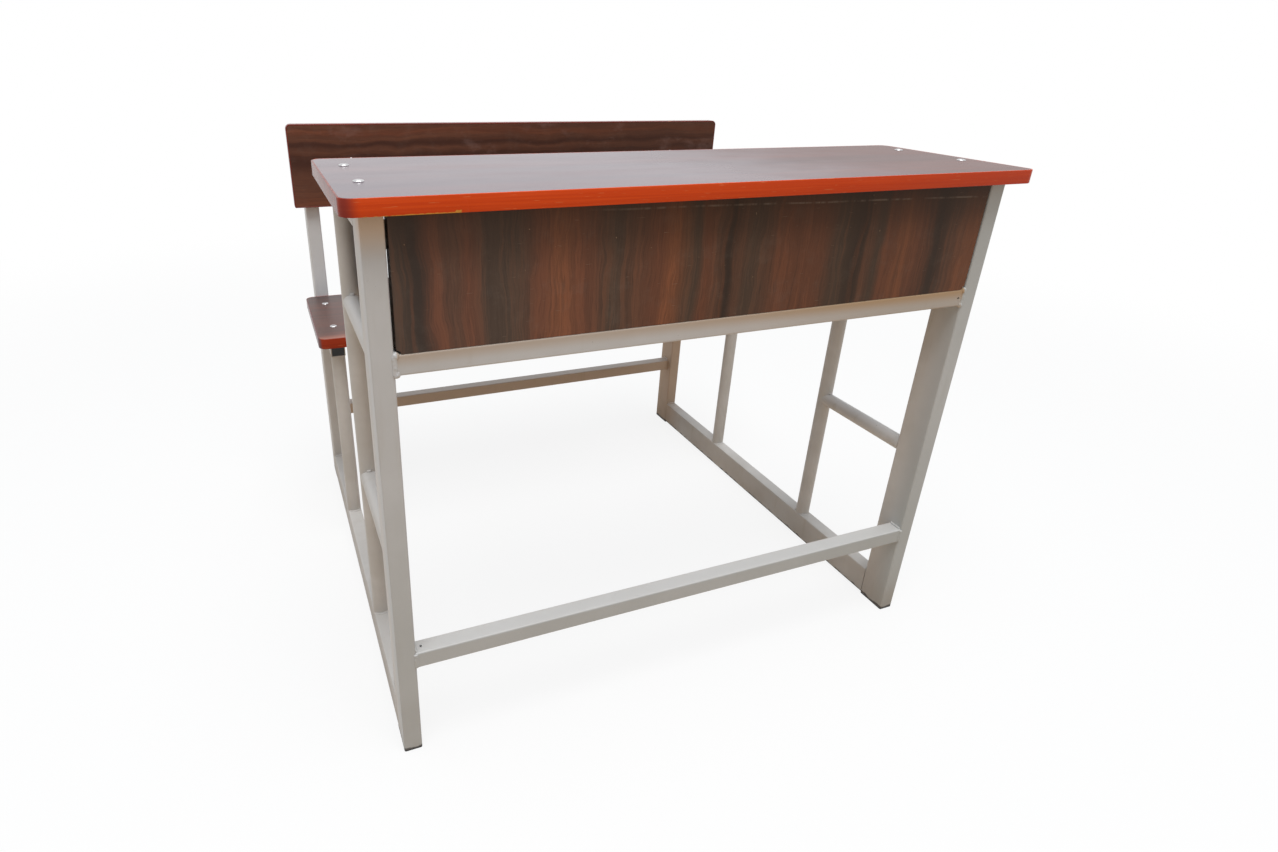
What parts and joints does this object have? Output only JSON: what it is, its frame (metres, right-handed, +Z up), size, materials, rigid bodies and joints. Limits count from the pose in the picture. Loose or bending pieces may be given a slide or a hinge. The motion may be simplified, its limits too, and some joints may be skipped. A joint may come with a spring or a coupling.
{
  "type": "school desk with bench",
  "caption": "School desk joined to its bench: welded tube side frames carry a desktop with front panel and book shelf, a bench seat and a backrest, all laminated boards.",
  "frame": {"origin": "on the floor, at the middle of the desk's length and of its depth", "axes": "+Z up; +X along the boards, to the right seen from the front panel; +Y from the front panel towards the backrest"},
  "size_m": [0.914, 0.856, 0.7644],
  "materials": {
    "grey_paint": "satin warm grey paint",
    "wood_laminate": "semi-gloss walnut laminate",
    "edge_band": "glossy reddish brown",
    "zinc_steel": "bright zinc",
    "black_plastic": "matt"
  },
  "bodies": {
    "root": {"backrest_board": "wood_laminate", "backrest_bolts": "zinc_steel", "backrest_edge_band": "edge_band", "backrest_nuts": "zinc_steel", "backrest_rail": "grey_paint", "bearer_plugs": "black_plastic", "book_shelf": "wood_laminate", "cross_rail_welds": "grey_paint", "desktop": "wood_laminate", "desktop_bolts": "zinc_steel", "desktop_edge_band": "edge_band", "desktop_nuts": "zinc_steel", "front_rail": "grey_paint", "front_stretcher": "grey_paint", "left_back_foot": "black_plastic", "left_back_leg": "grey_paint", "left_back_leg_cap": "black_plastic", "left_desktop_bearer": "grey_paint", "left_floor_rail": "grey_paint", "left_frame_welds": "grey_paint", "left_front_foot": "black_plastic", "left_front_leg": "grey_paint", "left_lower_side_rail": "grey_paint", "left_middle_post": "grey_paint", "left_seat_post": "grey_paint", "left_seat_rail": "grey_paint", "left_upper_side_rail": "grey_paint", "modesty_panel": "wood_laminate", "panel_screws": "zinc_steel", "panel_tabs": "grey_paint", "rear_stretcher": "grey_paint", "right_back_foot": "black_plastic", "right_back_leg": "grey_paint", "right_back_leg_cap": "black_plastic", "right_desktop_bearer": "grey_paint", "right_floor_rail": "grey_paint", "right_frame_welds": "grey_paint", "right_front_foot": "black_plastic", "right_front_leg": "grey_paint", "right_lower_side_rail": "grey_paint", "right_middle_post": "grey_paint", "right_seat_post": "grey_paint", "right_seat_rail": "grey_paint", "right_upper_side_rail": "grey_paint", "seat_board": "wood_laminate", "seat_bolts": "zinc_steel", "seat_edge_band": "edge_band", "seat_nuts": "zinc_steel", "seat_rail_plugs": "black_plastic", "shelf_rail": "grey_paint", "shelf_screws": "zinc_steel"}
  },
  "joints": []
}
